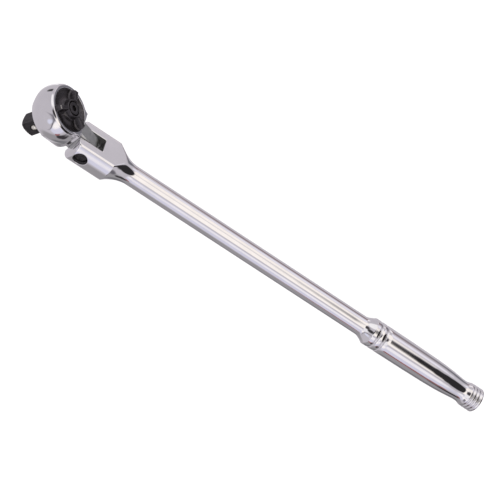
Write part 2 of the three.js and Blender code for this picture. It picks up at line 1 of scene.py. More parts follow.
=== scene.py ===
# Long flex-head ratchet wrench with a half-inch square drive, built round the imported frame.
#
# Fine pieces are described in millimetres, in one of two local frames:
#   handle frame - origin on the flex pin, +X towards the grip, +Z up
#   head frame   - origin on the drive axis in the plane of the face, +Z out of the face
# Each is the surface where a field (negative inside the metal) is zero.

import json
import math

import bpy
import numpy as np
from mathutils import Matrix, Vector


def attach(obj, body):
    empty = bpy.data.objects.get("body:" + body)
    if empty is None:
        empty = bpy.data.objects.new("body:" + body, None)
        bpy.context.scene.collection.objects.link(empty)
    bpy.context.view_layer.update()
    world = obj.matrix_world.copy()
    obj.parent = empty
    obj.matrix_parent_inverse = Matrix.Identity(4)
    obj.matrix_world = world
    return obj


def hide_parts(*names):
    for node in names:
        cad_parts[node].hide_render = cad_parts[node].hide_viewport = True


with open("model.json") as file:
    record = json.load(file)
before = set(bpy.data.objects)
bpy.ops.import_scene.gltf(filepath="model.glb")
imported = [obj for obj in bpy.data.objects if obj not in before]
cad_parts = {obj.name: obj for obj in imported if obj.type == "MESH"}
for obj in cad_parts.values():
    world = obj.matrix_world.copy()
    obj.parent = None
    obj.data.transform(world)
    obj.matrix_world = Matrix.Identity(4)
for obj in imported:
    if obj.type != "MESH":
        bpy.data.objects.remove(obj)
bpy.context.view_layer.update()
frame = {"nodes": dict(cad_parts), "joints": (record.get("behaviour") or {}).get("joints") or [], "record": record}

# ---- where the two local frames are -----------------------------------------------------------

JOINTS = {joint["name"]: joint for joint in frame["joints"]}


def local_frame(origin, z_axis):
    """Matrix from a local frame, in millimetres, to the row frame; its Y is the row's Y."""
    z = Vector(z_axis).normalized()
    y = Vector((0, 1, 0))
    x = y.cross(z)
    turn = Matrix((x, y, z)).transposed().to_4x4()
    return Matrix.Translation(Vector(origin)) @ turn @ Matrix.Scale(0.001, 4)


HANDLE_FRAME = local_frame(JOINTS["head_flex"]["pos_m"], (0, 0, 1))
HEAD_FRAME = local_frame(JOINTS["drive_spin"]["pos_m"], JOINTS["drive_spin"]["axis"])

# ---- fields -----------------------------------------------------------------------------------

REACH = 60.0  # a field value that is deep inside or far outside wherever it is used


def round_x(p):
    return np.hypot(p[..., 1], p[..., 2])


def round_y(p):
    return np.hypot(p[..., 0], p[..., 2])


def round_z(p):
    return np.hypot(p[..., 0], p[..., 1])


def band(value, low, high):
    return np.maximum(low - value, value - high)


def both(a, b, edge=0.0):
    """Where a and b overlap, with the edge between them rounded."""
    corner = np.hypot(np.maximum(a + edge, 0), np.maximum(b + edge, 0))
    return corner + np.minimum(np.maximum(a, b), -edge)


def either(a, b, fillet=0.0):
    return -both(-a, -b, fillet)


def without(a, b, edge=0.0):
    return both(a, -b, edge)


def shifted(p, x=0.0, y=0.0, z=0.0):
    return p - np.array((x, y, z))


def turned(p, degrees):
    """p seen from a frame turned about Z."""
    c, s = math.cos(math.radians(degrees)), math.sin(math.radians(degrees))
    x, y = p[..., 0], p[..., 1]
    return np.stack((x * c + y * s, y * c - x * s, p[..., 2]), -1)


# ---- meshes from fields -----------------------------------------------------------------------

CORNERS = [(i, j, k) for i in (0, 1) for j in (0, 1) for k in (0, 1)]


def gradient(field, points, reach):
    steps = np.eye(3) * reach
    return np.stack([field(points + s) - field(points - s) for s in steps], -1) / (2 * reach)


def settle(field, points, rounds=3):
    """Moves points onto the field's surface."""
    for _ in range(rounds):
        slope = gradient(field, points, 0.02)
        steepness = np.maximum((slope * slope).sum(-1), 0.05)
        points = points - slope * (field(points) / steepness)[:, None]
    return points


def relax(points, quads, rounds, fixed=None):
    """Evens out the spacing of the points."""
    edges = np.concatenate([quads[:, [0, 1]], quads[:, [1, 2]], quads[:, [2, 3]], quads[:, [3, 0]]])
    edges = np.concatenate([edges, edges[:, ::-1]])
    count = np.bincount(edges[:, 0], minlength=len(points))[:, None]
    for _ in range(rounds):
        total = np.stack(
            [np.bincount(edges[:, 0], points[edges[:, 1], a], len(points)) for a in range(3)], -1
        )
        moved = points + 0.5 * (total / np.maximum(count, 1) - points)
        if fixed is not None:
            moved[fixed] = points[fixed]
        points = moved
    return points


def net(field, low, high, step):
    """Points and quads of the surface inside the box; open where the surface leaves the box."""
    axes = [np.arange(a, b + step, step) for a, b in zip(low, high)]
    value = field(np.stack(np.meshgrid(*axes, indexing="ij"), -1))
    inside = value < 0
    shape = np.array(value.shape) - 1
    count = sum(
        inside[i : i + shape[0], j : j + shape[1], k : k + shape[2]].astype(int)
        for i, j, k in CORNERS
    )
    active = (count > 0) & (count < len(CORNERS))
    cells = np.argwhere(active)
    index = np.full(active.shape, -1)
    index[active] = np.arange(len(cells))
    total = np.zeros((len(cells), 3))
    hits = np.zeros((len(cells), 1))
    for start in CORNERS:
        for axis in range(3):
            if start[axis]:
                continue
            end = tuple(1 if a == axis else c for a, c in enumerate(start))
            first = value[tuple((cells + start).T)]
            second = value[tuple((cells + end).T)]
            crossed = (first < 0) != (second < 0)
            point = (cells + start).astype(float)
            point[crossed, axis] += first[crossed] / (first[crossed] - second[crossed])
            total[crossed] += point[crossed]
            hits[crossed] += 1
    points = total / hits * step + np.array([a[0] for a in axes])
    quads = []
    for axis in range(3):
        across, up = (axis + 1) % 3, (axis + 2) % 3
        low_end = np.take(inside, range(shape[axis]), axis)
        high_end = np.take(inside, range(1, shape[axis] + 1), axis)
        edges = np.argwhere(low_end != high_end)
        whole = np.all([edges[:, a] > 0 for a in (across, up)], axis=0)
        whole &= np.all([edges[:, a] < shape[a] for a in (across, up)], axis=0)
        edges = edges[whole]
        side, over = np.eye(3, dtype=int)[across], np.eye(3, dtype=int)[up]
        ring = [index[tuple((edges - offset).T)] for offset in (0 * side, side, side + over, over)]
        ring = np.stack(ring, -1)
        outward = low_end[tuple(edges.T)]
        quads.append(np.where(outward[:, None], ring, ring[:, ::-1]))
    return points, np.concatenate(quads)


def mesh_object(name, points, faces, normals, place):
    """A smooth object at the origin, with its place in its vertices."""
    matrix = np.array(place)
    world = points @ matrix[:3, :3].T + matrix[:3, 3]
    normals = normals @ matrix[:3, :3].T
    normals /= np.linalg.norm(normals, axis=1)[:, None]
    mesh = bpy.data.meshes.new(name)
    mesh.from_pydata(world.tolist(), [], [list(map(int, f)) for f in faces])
    mesh.shade_smooth()
    mesh.normals_split_custom_set_from_vertices(normals.tolist())
    made = bpy.data.objects.new(name, mesh)
    bpy.context.scene.collection.objects.link(made)
    return made


def solid(name, field, low, high, step, place):
    """The closed surface of a field as an object."""
    points, quads = net(field, low, high, step)
    points = settle(field, points)
    points = settle(field, relax(points, quads, 2))
    return mesh_object(name, points, quads, gradient(field, points, step * 0.35), place)


# ---- handle -----------------------------------------------------------------------------------

FORK_RADIUS = 16.5
FORK_FLAT = 10.9
FORK_FRONT = -9.7
FORK_FRONT_ROUND = 3.6
FORK_BACK = 24.2
NECK_BACK = 45.0
SLOT_HALF_WIDTH = 6.1
SLOT_BACK = 11.5
SHAFT_RADIUS = 8.4
SHAFT_BACK = 274.4
GRIP_FRONT = 283.2
GRIP_RADIUS = 11.9
WAIST = 381.2
KNOB_FRONT = 386.5
KNOB_RADIUS = 10.6
HANDLE_END = 398.2
END_ROUND = 1.5
PLUNGER_BORE_RADIUS = 3.3
PLUNGER_BORE_END = 24.0
GROOVES = (288.5, 294.5, 388.0, 391.3, 394.6)
GROOVE_DEPTH = 0.6
GROOVE_HALF_WIDTH = 1.1
PIN_RADIUS = 5.5
PIN_HALF_LENGTH = 12.7
PIN_HOLE_RADIUS = 5.8
SEAM = 50.0  # the fork's mesh meets the shaft's rings here
FORK_STEP = 0.45
SIDES = 112  # of each ring of the shaft and grip

# [distance along the handle, radius] of the grip behind its front ring
GRIP_SHAPE = (
    (GRIP_FRONT, GRIP_RADIUS),
    (300.0, 11.9),
    (325.0, 11.75),
    (347.0, 11.4),
    (358.0, 11.0),
    (365.5, 10.5),
    (371.5, 9.9),
    (376.5, 9.35),
    (WAIST, 9.05),
    (383.5, 9.4),
    (KNOB_FRONT, KNOB_RADIUS),
    (HANDLE_END, KNOB_RADIUS),
)


def smooth_through(knots, spacing=0.25, spread=1.2):
    """A curve through the knots with its corners eased over a short length."""
    x = np.arange(knots[0][0], knots[-1][0], spacing)
    y = np.interp(x, *zip(*knots))
    reach = int(3 * spread / spacing)
    weights = np.exp(-0.5 * (np.arange(-reach, reach + 1) * spacing / spread) ** 2)
    padded = np.pad(y, reach, mode="edge")
    return x, np.convolve(padded, weights / weights.sum(), mode="valid")


GRIP_X, GRIP_R = smooth_through(GRIP_SHAPE)


def handle_radius(x):
    neck = np.clip((x - FORK_BACK) / (NECK_BACK - FORK_BACK), 0, 1)
    radius = SHAFT_RADIUS + (FORK_RADIUS - SHAFT_RADIUS) * (1 - neck) ** 2
    flare = np.clip((x - SHAFT_BACK) / (GRIP_FRONT - SHAFT_BACK), 0, 1)
    radius = radius + (GRIP_RADIUS - SHAFT_RADIUS) * flare**1.5
    radius = np.where(x > GRIP_FRONT, np.interp(x, GRIP_X, GRIP_R), radius)
    for middle in GROOVES:
        near = np.clip(1 - ((x - middle) / GROOVE_HALF_WIDTH) ** 2, 0, 1)
        radius = radius - GROOVE_DEPTH * near**1.5
    return radius


def handle_field(p):
    x, y, z = p[..., 0], p[..., 1], p[..., 2]
    bar = round_x(p) - handle_radius(x)
    bar = both(bar, FORK_FRONT - x, FORK_FRONT_ROUND)
    bar = both(bar, x - HANDLE_END, END_ROUND)
    fork = np.where(x < NECK_BACK, np.abs(z) - FORK_FLAT, -REACH)
    bar = both(bar, fork, 0.7)
    slot = both(np.abs(y) - SLOT_HALF_WIDTH, x - SLOT_BACK, 0.8)
    bar = without(bar, slot, 0.4)
    pin_hole = round_y(p) - PIN_HOLE_RADIUS
    bar = without(bar, pin_hole, 0.5)
    plunger_bore = both(
        round_x(p) - PLUNGER_BORE_RADIUS, band(x, SLOT_BACK - 1, PLUNGER_BORE_END)
    )
    return without(bar, plunger_bore, 0.1)


def ring_rows():
    """[distance along the handle, radius] of each ring behind the seam."""
    stops = [*np.arange(60.0, SHAFT_BACK, 12.0), *np.arange(SHAFT_BACK, GRIP_FRONT, 0.8)]
    for middle in GROOVES:
        stops += list(np.linspace(middle - GROOVE_HALF_WIDTH, middle + GROOVE_HALF_WIDTH, 7))
    stops += [GRIP_FRONT + 0.4, GRIP_FRONT + 1.2, 286.0, *np.arange(300.0, 345.0, 6.0)]
    stops += list(np.arange(345.0, KNOB_FRONT + 1.0, 1.5))
    rows = [(SEAM + 0.6, SHAFT_RADIUS)]
    rows += [(x, float(handle_radius(np.array(x)))) for x in sorted(stops)]
    for angle in np.linspace(0, math.pi / 2, 8):
        x = HANDLE_END - END_ROUND + END_ROUND * math.sin(angle)
        rows.append((x, KNOB_RADIUS - END_ROUND + END_ROUND * math.cos(angle)))
    return rows + [(HANDLE_END, 6.0), (HANDLE_END, 3.0)]


def seam_faces(rim, points, first):
    """Triangles from the fork's rim to the ring that starts at first, round both by angle."""
    turn = np.arctan2(points[rim, 2], points[rim, 1]) % (2 * math.pi)
    order = np.argsort(turn)
    rim, turn = rim[order], turn[order]
    faces = []
    i = j = 0
    while i < len(rim) or j < SIDES:
        here, there = rim[i % len(rim)], first + j % SIDES
        next_rim = turn[(i + 1) % len(rim)] + (2 * math.pi if i + 1 >= len(rim) else 0)
        next_ring = (j + 1) * 2 * math.pi / SIDES
        if i < len(rim) and (next_rim <= next_ring or j >= SIDES):
            faces.append([here, rim[(i + 1) % len(rim)], there])
            i += 1
        else:
            faces.append([here, first + (j + 1) % SIDES, there])
            j += 1
    return faces


def build_handle():
    margin = 2 * FORK_STEP
    low = (FORK_FRONT - margin, -FORK_RADIUS - margin, -FORK_FLAT - margin)
    high = (SEAM, FORK_RADIUS + margin, FORK_FLAT + margin)
    points, quads = net(handle_field, low, high, FORK_STEP)
    used = np.bincount(quads.ravel(), minlength=len(points)) > 0
    rim = points[:, 0] > points[:, 0].max() - 0.6 * FORK_STEP
    points = settle(handle_field, points)
    points = settle(handle_field, relax(points, quads, 2, fixed=rim))
    points[rim, 0] = SEAM
    rows = ring_rows()
    angles = np.arange(SIDES) * 2 * math.pi / SIDES
    rings = [
        np.stack((np.full(SIDES, x), r * np.cos(angles), r * np.sin(angles)), -1) for x, r in rows
    ]
    first = len(points)
    points = np.concatenate([points, *rings, [[HANDLE_END, 0.0, 0.0]]])
    faces = quads.tolist()
    for row in range(len(rows) - 1):
        a, b = first + row * SIDES, first + (row + 1) * SIDES
        for side in range(SIDES):
            after = (side + 1) % SIDES
            faces.append([a + side, a + after, b + after, b + side])
    last, tip = first + (len(rows) - 1) * SIDES, len(points) - 1
    faces += [[last + side, last + (side + 1) % SIDES, tip] for side in range(SIDES)]
    faces += seam_faces(np.flatnonzero(rim & used), points, first)
    normals = gradient(handle_field, points, 0.16)
    return mesh_object("handle_forging", points, faces, normals, HANDLE_FRAME)


def pin_field(p):
    crown = 0.5 * np.clip(round_y(p) / PIN_RADIUS, 0, 1) ** 2
    return both(round_y(p) - PIN_RADIUS, np.abs(p[..., 1]) + crown - PIN_HALF_LENGTH, 0.5)


# ---- head housing -----------------------------------------------------------------------------

HEAD_OFFSET = 35.0
FACE_HEIGHT = 12.0
HEAD_RADIUS = 23.1
FACE_RADIUS = 19.6
RIM_DEPTH = 1.3
RIM_RADIUS = 20.9
WIDEST_DEPTH = 10.6
BASE_DEPTH = 23.0
BASE_RADIUS = 17.4
SHOULDER_X = 17.9
SHOULDER_RADIUS = 17.4
TANG_HALF_WIDTH = 5.8
TANG_RADIUS = 9.6
TANG_ROOT_HEIGHT = 10.4
TANG_FRONT = 14.0  # hidden in the head
POCKET_DEPTH = 3.0
POCKET_RADIUS = 17.4
TEETH = 36
TOOTH_ROOT_RADIUS = 16.4
TOOTH_TIP_RADIUS = 15.2
GEAR_FLOOR = 14.9
ANVIL_BORE_RADIUS = 10.4
RING_RECESS_RADIUS = 11.6
RING_RECESS_DEPTH = 21.7


def housing_radius(z):
    below = HEAD_RADIUS - (HEAD_RADIUS - BASE_RADIUS) * (
        1 - np.sin(np.clip((z + BASE_DEPTH) / (BASE_DEPTH - WIDEST_DEPTH), 0, 1) * math.pi / 2)
    )
    above = HEAD_RADIUS - (HEAD_RADIUS - RIM_RADIUS) * (
        1 - np.sin(np.clip((-z - RIM_DEPTH) / (WIDEST_DEPTH - RIM_DEPTH), 0, 1) * math.pi / 2)
    )
    rim = FACE_RADIUS + (RIM_RADIUS - FACE_RADIUS) * np.maximum(-z / RIM_DEPTH, -1)
    return np.where(z < -WIDEST_DEPTH, below, np.minimum(above, rim))


def gear_field(p):
    """The ratchet's internal teeth: land, flank, land, flank round each pitch."""
    share = (np.arctan2(p[..., 1], p[..., 0]) / (2 * math.pi) * TEETH) % 1
    radius = np.interp(
        share,
        (0, 0.08, 0.42, 0.58, 0.92, 1),
        (TOOTH_TIP_RADIUS, TOOTH_TIP_RADIUS) + (TOOTH_ROOT_RADIUS,) * 2 + (TOOTH_TIP_RADIUS,) * 2,
    )
    return round_z(p) - radius


def housing_field(p):
    x, y, z = p[..., 0], p[..., 1], p[..., 2]
    rho = round_z(p)
    shell = both(rho - housing_radius(z), band(z, -BASE_DEPTH, 0), 0.3)
    about_neck = shifted(p, z=-FACE_HEIGHT)
    neck_radius = np.interp(x, (0, SHOULDER_X), (HEAD_RADIUS - 2, SHOULDER_RADIUS))
    neck = both(round_x(about_neck) - neck_radius, band(z, -BASE_DEPTH, 0), 0.4)
    neck = np.maximum(neck, -x)
    head = both(either(shell, neck, 0.5), x - SHOULDER_X, 0.5)
    tang = shifted(p, x=HEAD_OFFSET, z=-FACE_HEIGHT)
    from_pin = tang[..., 0]
    root = SHOULDER_X - HEAD_OFFSET
    half_height = np.interp(from_pin, (root, 0), (TANG_ROOT_HEIGHT, TANG_RADIUS))
    straight = np.abs(tang[..., 2]) - half_height
    outline = np.where(from_pin < 0, straight, round_y(tang) - TANG_RADIUS)
    outline = np.maximum(outline, TANG_FRONT - x)
    plate = both(outline, np.abs(y) - TANG_HALF_WIDTH, 0.35)
    plate = without(plate, round_y(tang) - PIN_HOLE_RADIUS, 0.3)
    head = either(head, plate, 0.8)
    head = without(head, both(rho - POCKET_RADIUS, -POCKET_DEPTH - z), 0.25)
    head = without(head, both(gear_field(p), -GEAR_FLOOR - z))
    head = without(head, rho - ANVIL_BORE_RADIUS, 0.15)
    return without(head, both(rho - RING_RECESS_RADIUS, z + RING_RECESS_DEPTH), 0.15)


# ---- drive ------------------------------------------------------------------------------------

HALF_SQUARE = 6.35
SQUARE_CORNER_RADIUS = 8.8
DRIVE_DEPTH = 42.0
DRIVE_CHAMFER = 1.4
BALL_RADIUS = 2.8
BALL_DEPTH = 33.4
BALL_MIDDLE = -4.65
BALL_BORE_END = 3.2
DRUM_RADIUS = 14.9
DRUM_TOP = -4.2
DRUM_FLOOR = -13.4
JOURNAL_RADIUS = 8.6
COLLAR_BOTTOM = -24.0
PAWL_PIVOT = 11.9
PAWL_ANGLE = 52.0
PAWL_PIN_BORE_RADIUS = 1.5
PAWL_POCKET_ANGLE = 68.0  # to each side of -X
PAWL_POCKET_INNER_RADIUS = 9.0
PAWL_POCKET_FLOOR = -12.9
SPRING_SEAT_ANGLE = 20.0
SPRING_SEAT_HEIGHT = -8.6
SPRING_SEAT_RADIUS = 1.6
SPRING_SEAT_START = 6.0
CLICK_BORE_X = 10.0
CLICK_BORE_RADIUS = 1.55
RING_SLOT = (-22.9, -21.8)
DIAL_WELL_RADIUS = 5.3
DIAL_WELL_FLOOR = -9.3
SCREW_BORE_RADIUS = 2.7
SCREW_BORE_FLOOR = -19.3


def drive_field(p):
    x, y, z = p[..., 0], p[..., 1], p[..., 2]
    rho = round_z(p)
    drum = both(rho - DRUM_RADIUS, band(z, DRUM_FLOOR, DRUM_TOP), 0.2)
    from_middle = np.abs(np.arctan2(y, -x))
    pocket = (from_middle - math.radians(PAWL_POCKET_ANGLE)) * rho
    pocket = np.maximum(pocket, PAWL_POCKET_INNER_RADIUS - rho)
    drum = without(drum, np.maximum(pocket, PAWL_POCKET_FLOOR - z), 0.2)
    for side in (1, -1):
        angle = math.radians(180 - side * PAWL_ANGLE)
        hole = shifted(p, PAWL_PIVOT * math.cos(angle), PAWL_PIVOT * math.sin(angle))
        drum = without(drum, round_z(hole) - PAWL_PIN_BORE_RADIUS, 0.1)
        seat = shifted(turned(p, 180 - side * SPRING_SEAT_ANGLE), z=SPRING_SEAT_HEIGHT)
        seat = both(round_x(seat) - SPRING_SEAT_RADIUS, SPRING_SEAT_START - seat[..., 0])
        drum = without(drum, seat, 0.1)
    drum = without(drum, round_z(shifted(p, x=CLICK_BORE_X)) - CLICK_BORE_RADIUS, 0.1)
    journal = both(rho - JOURNAL_RADIUS, band(z, COLLAR_BOTTOM, DRUM_FLOOR + 1), 0.5)
    ring_slot = both(JOURNAL_RADIUS - 1 - rho, band(z, *RING_SLOT))
    journal = without(journal, ring_slot, 0.1)
    square = both(np.abs(x) - HALF_SQUARE, np.abs(y) - HALF_SQUARE, 0.3)
    square = both(square, rho - SQUARE_CORNER_RADIUS, 0.3)
    nose = (rho - SQUARE_CORNER_RADIUS - 2 * (z + DRIVE_DEPTH - DRIVE_CHAMFER)) / math.sqrt(5)
    square = both(square, nose, 0.4)
    square = both(square, -DRIVE_DEPTH - z, 0.4)
    square = np.maximum(square, z - COLLAR_BOTTOM - 1)
    bore = round_y(shifted(p, z=-BALL_DEPTH)) - BALL_RADIUS - 0.1
    square = without(square, np.maximum(bore, y - BALL_BORE_END), 0.2)
    body = either(either(drum, journal, 0.2), square, 0.6)
    body = without(body, both(rho - DIAL_WELL_RADIUS, DIAL_WELL_FLOOR - z), 0.2)
    return without(body, both(rho - SCREW_BORE_RADIUS, SCREW_BORE_FLOOR - z), 0.1)


def drive_ball_field(p):
    return np.linalg.norm(shifted(p, y=BALL_MIDDLE, z=-BALL_DEPTH), axis=-1) - BALL_RADIUS


SNAP_RING_RADII = (7.9, 11.2)
SNAP_RING_HEIGHTS = (-22.7, -22.0)
SNAP_RING_HALF_GAP = 1.5


def retaining_ring_field(p):
    hoop = both(band(round_z(p), *SNAP_RING_RADII), band(p[..., 2], *SNAP_RING_HEIGHTS), 0.15)
    gap = both(np.abs(p[..., 1]) - SNAP_RING_HALF_GAP, -p[..., 0])
    return without(hoop, gap, 0.3)


# ---- reversing dial ---------------------------------------------------------------------------

DIAL_RADIUS = 17.1
DIAL_DISC = 2.0
DIAL_HEIGHT = 4.4
WELL_MIDDLE = 12.4  # of the ring-shaped scoop between the hub and the rim
WELL_RADIUS = 8.0
WELL_DEPTH = 1.3
HUB_RADIUS = 7.1
LOBE_LENGTH = 16.2
LOBE_DROP = 0.3  # from the hub's top to the lobe's tip
LOBE_ANGLES = (-20.0, 100.0, 220.0)
STEM_RADIUS = 5.0
STEM_BOTTOM = -9.0
RECESS_RADIUS = 6.0
RECESS_FLOOR = 0.7
RECESS_CHAMFER_START = 3.8
LOBE_ROOT_HALF_WIDTH = 1.2
LOBE_WIDENING = 0.5  # from the hub to the tip
LOBE_DRAFT = 0.2  # outward slope of the flanks
LOBE_TIP_DRAFT = 0.45
SCREW_HEAD_RADIUS = 5.1
SCREW_HEAD_BOTTOM = 1.0
SCREW_CROWN = 0.25
SCREW_SHANK_RADIUS = 2.4
SCREW_END = -19.0
SOCKET_HALF_WIDTH = 2.25
SOCKET_FLOOR = 1.9
SOCKET_CHAMFER_START = 4.0


def lobe_field(p, angle):
    """One raised lobe, which widens and drops towards its tip."""
    seen = turned(p, angle)
    u, v, z = seen[..., 0], seen[..., 1], seen[..., 2]
    along = np.clip((u - HUB_RADIUS) / (LOBE_LENGTH - HUB_RADIUS), 0, 1)
    below_top = DIAL_HEIGHT - LOBE_DROP * along**2 - z
    flank = np.abs(v) - LOBE_ROOT_HALF_WIDTH - LOBE_WIDENING * along - LOBE_DRAFT * below_top
    lobe = both(flank, -below_top, 0.6)
    lobe = both(lobe, u - LOBE_LENGTH - LOBE_TIP_DRAFT * below_top, 0.7)
    return np.maximum(lobe, -u)


def dial_field(p):
    rho, z = round_z(p), p[..., 2]
    disc = both(rho - DIAL_RADIUS, band(z, -DIAL_DISC, 0.0), 0.25)
    well = np.hypot(rho - WELL_MIDDLE, z - WELL_RADIUS + WELL_DEPTH) - WELL_RADIUS
    disc = without(disc, well, 0.3)
    top = both(rho - HUB_RADIUS - 0.2 * (DIAL_HEIGHT - z), z - DIAL_HEIGHT, 0.4)
    for angle in LOBE_ANGLES:
        top = either(top, lobe_field(p, angle), 0.7)
    top = both(top, rho - DIAL_RADIUS + 0.1, 0.4)
    body = either(disc, np.maximum(top, 0.2 - DIAL_DISC - z), 1.2)
    body = either(body, both(rho - STEM_RADIUS, band(z, STEM_BOTTOM, -1.0)), 0.2)
    chamfer = np.maximum(z - RECESS_CHAMFER_START, 0)
    recess = np.maximum(rho - RECESS_RADIUS - chamfer, RECESS_FLOOR - z)
    body = without(body, recess, 0.15)
    return without(body, rho - SCREW_SHANK_RADIUS - 0.3)


def screw_field(p):
    rho, z = round_z(p), p[..., 2]
    crown = SCREW_CROWN * np.clip(rho / SCREW_HEAD_RADIUS, 0, 1) ** 2
    head = both(rho - SCREW_HEAD_RADIUS, band(z, SCREW_HEAD_BOTTOM, DIAL_HEIGHT - crown), 0.35)
    flats = [np.abs(turned(p, angle)[..., 0]) for angle in (0, 60, 120)]
    chamfer = np.maximum(z - SOCKET_CHAMFER_START, 0)
    socket = np.maximum.reduce(flats) - SOCKET_HALF_WIDTH - chamfer
    head = without(head, np.maximum(socket, SOCKET_FLOOR - z), 0.1)
    shank = both(rho - SCREW_SHANK_RADIUS, band(z, SCREW_END, SCREW_HEAD_BOTTOM + 0.5), 0.4)
    return either(head, shank)


# ---- materials --------------------------------------------------------------------------------


MIX_FIRST, MIX_SECOND, MIX_RESULT = 6, 7, 2  # the colour sockets of a Mix node
RING_WAVE_SCALE = 0.314  # the Wave node's scale for rings one unit apart


def mixed(tree, share, first, second):
    """first where share is 0 and second where it is 1; each is a socket or a plain colour."""
    mix = tree.nodes.new("ShaderNodeMix")
    mix.data_type = "RGBA"
    tree.links.new(share, mix.inputs["Factor"])
    for value, place in ((first, MIX_FIRST), (second, MIX_SECOND)):
        if isinstance(value, tuple):
            mix.inputs[place].default_value = (*value, 1)
        else:
            tree.links.new(value, mix.inputs[place])
    return mix.outputs[MIX_RESULT]


class Nodes:
    """A new Principled material and short ways to wire it."""

    def __init__(self, name):
        self.material = bpy.data.materials.new(name)
        self.material.use_nodes = True
        self.tree = self.material.node_tree
        self.shader = self.tree.nodes["Principled BSDF"]
        self.where = self.tree.nodes.new("ShaderNodeTexCoord").outputs["Object"]

    def set(self, **values):
        for name, value in values.items():
            self.shader.inputs[name.replace("_", " ")].default_value = value
        return self

    def noise(self, size_mm, detail):
        mapping = self.tree.nodes.new("ShaderNodeMapping")
        mapping.inputs["Scale"].default_value = [1000.0 / size_mm] * 3
        self.tree.links.new(self.where, mapping.inputs["Vector"])
        noise = self.tree.nodes.new("ShaderNodeTexNoise")
        noise.inputs["Scale"].default_value = 1.0
        noise.inputs["Detail"].default_value = detail
        self.tree.links.new(mapping.outputs["Vector"], noise.inputs["Vector"])
        return noise.outputs["Fac"]

    def ramp(self, value, stops):
        ramp = self.tree.nodes.new("ShaderNodeValToRGB")
        elements = ramp.color_ramp.elements
        while len(elements) < len(stops):
            elements.new(0.5)
        for element, (place, colour) in zip(elements, stops):
            element.position = place
            level = colour if isinstance(colour, tuple) else (colour,) * 3
            element.color = (*level, 1)
        self.tree.links.new(value, ramp.inputs["Fac"])
        return ramp.outputs["Color"]

    def link(self, value, socket):
        self.tree.links.new(value, self.shader.inputs[socket])
        return self

    def math(self, operation, first, second):
        node = self.tree.nodes.new("ShaderNodeMath")
        node.operation = operation
        for value, socket in zip((first, second), node.inputs):
            self.tree.links.new(value, socket)
        return node.outputs["Value"]

    def local(self, place):
        """The point in millimetres of a local frame."""
        inverse = place.inverted()
        mapping = self.tree.nodes.new("ShaderNodeMapping")
        mapping.inputs["Location"].default_value = inverse.translation
        mapping.inputs["Rotation"].default_value = inverse.to_euler()
        mapping.inputs["Scale"].default_value = inverse.to_scale()
        self.tree.links.new(self.where, mapping.inputs["Vector"])
        return mapping.outputs["Vector"]

    def turning_marks(self, place, spacing_mm):
        """Fine rings round the Z axis of a local frame."""
        wave = self.tree.nodes.new("ShaderNodeTexWave")
        wave.wave_type = "RINGS"
        wave.rings_direction = "Z"
        wave.inputs["Scale"].default_value = RING_WAVE_SCALE / spacing_mm
        wave.inputs["Distortion"].default_value = 0.6
        wave.inputs["Detail"].default_value = 2.0
        self.tree.links.new(self.local(place), wave.inputs["Vector"])
        return wave.outputs["Fac"]

    def inside(self, place, middle, half_size, softness=0.15):
        """1 in a box of a local frame, in millimetres, and 0 outside it."""
        here = self.local(place)
        steps = (("SUBTRACT", middle), ("ABSOLUTE", None), ("SUBTRACT", half_size))
        for operation, amount in steps:
            step = self.tree.nodes.new("ShaderNodeVectorMath")
            step.operation = operation
            self.tree.links.new(here, step.inputs[0])
            if amount:
                step.inputs[1].default_value = amount
            here = step.outputs["Vector"]
        parts = self.tree.nodes.new("ShaderNodeSeparateXYZ")
        self.tree.links.new(here, parts.inputs["Vector"])
        outside = self.math("MAXIMUM", parts.outputs["X"], parts.outputs["Y"])
        outside = self.math("MAXIMUM", outside, parts.outputs["Z"])
        edge = self.tree.nodes.new("ShaderNodeMapRange")
        edge.inputs["From Min"].default_value = softness
        edge.inputs["From Max"].default_value = -softness
        self.tree.links.new(outside, edge.inputs["Value"])
        return edge.outputs["Result"]

    def mix(self, share, first, second):
        return mixed(self.tree, share, first, second)

    def bump(self, value, strength, depth_mm):
        bump = self.tree.nodes.new("ShaderNodeBump")
        bump.inputs["Strength"].default_value = strength
        bump.inputs["Distance"].default_value = depth_mm * 0.001
        self.tree.links.new(value, bump.inputs["Height"])
        self.tree.links.new(bump.outputs["Normal"], self.shader.inputs["Normal"])
        return self


def chrome_material():
    """Mirror plate outside; the fork's slot and the head's tang keep their milled finish."""
    m = Nodes("chrome_plate").set(Metallic=1.0)
    slot_size = (15.1, SLOT_HALF_WIDTH + 0.2, FORK_FLAT - 0.2)
    slot = m.inside(HANDLE_FRAME, (SLOT_BACK - 15, 0, 0), slot_size)
    tang_size = (15, TANG_HALF_WIDTH + 0.1, 11)
    tang = m.inside(HEAD_FRAME, (SHOULDER_X + 15.2, 0, -FACE_HEIGHT), tang_size)
    milled = m.math("MAXIMUM", slot, tang)
    plate = m.ramp(m.noise(14, 3), [(0.3, (0.78, 0.77, 0.79)), (0.7, (0.83, 0.82, 0.84))])
    bare = m.ramp(m.noise(3, 4), [(0.3, (0.48, 0.49, 0.48)), (0.7, (0.60, 0.61, 0.60))])
    m.link(m.mix(milled, plate, bare), "Base Color")
    gloss = m.ramp(m.noise(6, 4), [(0.35, 0.045), (0.7, 0.085)])
    satin = m.ramp(m.noise(1.5, 4), [(0.3, 0.32), (0.7, 0.46)])
    m.link(m.mix(milled, gloss, satin), "Roughness")
    return m.bump(m.noise(1.6, 1), 0.05, 0.02).material


def black_material():
    m = Nodes("black_oxide_finish").set(Metallic=0.55)
    black = m.ramp(m.noise(2.2, 6), [(0.3, (0.018, 0.016, 0.018)), (0.75, (0.05, 0.046, 0.05))])
    m.link(black, "Base Color")
    m.link(m.ramp(m.noise(1.2, 4), [(0.3, 0.3), (0.7, 0.5)]), "Roughness")
    return m.bump(m.noise(0.5, 3), 0.35, 0.05).material


